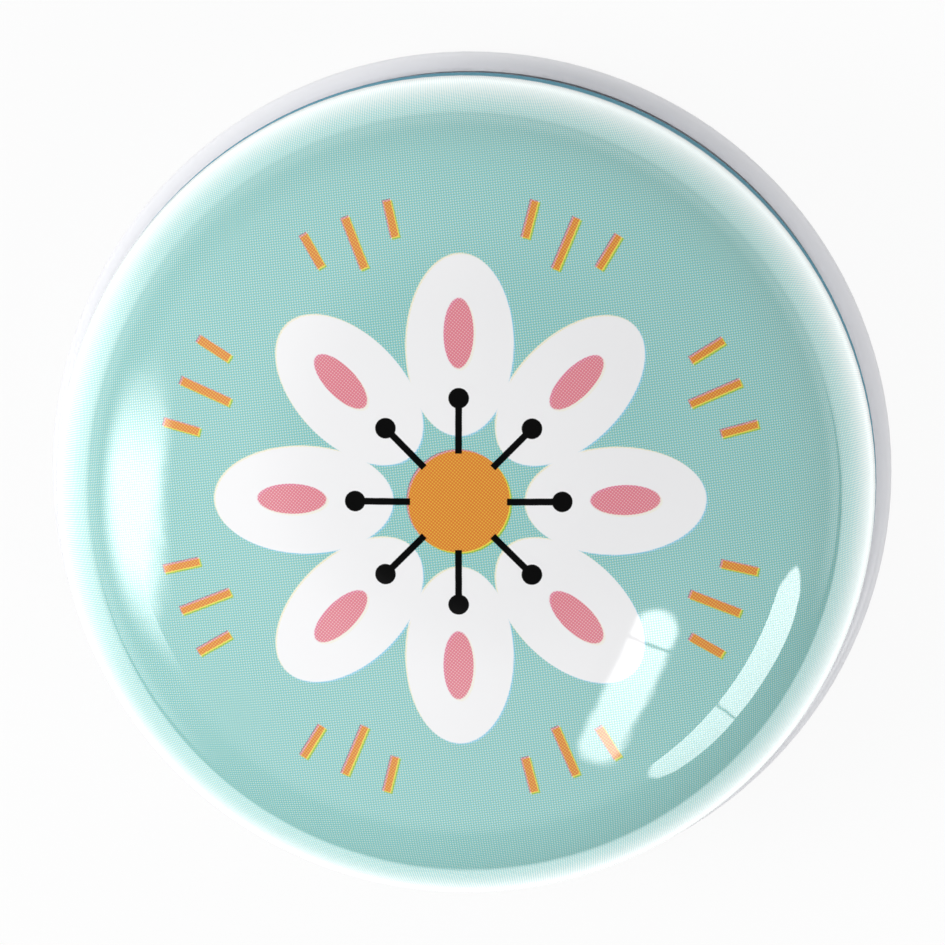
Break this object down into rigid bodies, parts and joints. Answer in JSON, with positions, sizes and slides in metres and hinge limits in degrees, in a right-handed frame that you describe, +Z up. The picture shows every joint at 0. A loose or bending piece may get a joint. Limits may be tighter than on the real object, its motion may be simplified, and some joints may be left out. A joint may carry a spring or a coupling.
{
  "type": "slip-lid keepsake tin",
  "caption": "Round tinplate keepsake box for baby teeth: a domed printed lid lifts off a white necked body with a rolled mouth, a stop step and a bead-seamed bottom plate.",
  "frame": {"origin": "on the axis of the tin, at the height of the surface that its rolled foot stands on", "axes": "+Z up along the axis, the way the lid lifts off; +X and +Y are any two level directions, because the tin is round"},
  "size_m": [0.0494, 0.0494, 0.0192],
  "materials": {
    "lid_print": "gloss varnished print on tinplate",
    "white_lacquer": "satin white lacquer on tinplate"
  },
  "bodies": {
    "base": {"tin_body": "white_lacquer", "bottom_plate": "white_lacquer"},
    "lid": {"domed_lid": "lid_print"}
  },
  "joints": [
    {"name": "lift_off", "type": "slide", "parent": "base", "child": "lid", "axis": [0, 0, 1], "range_m": [0, 0.03]}
  ]
}
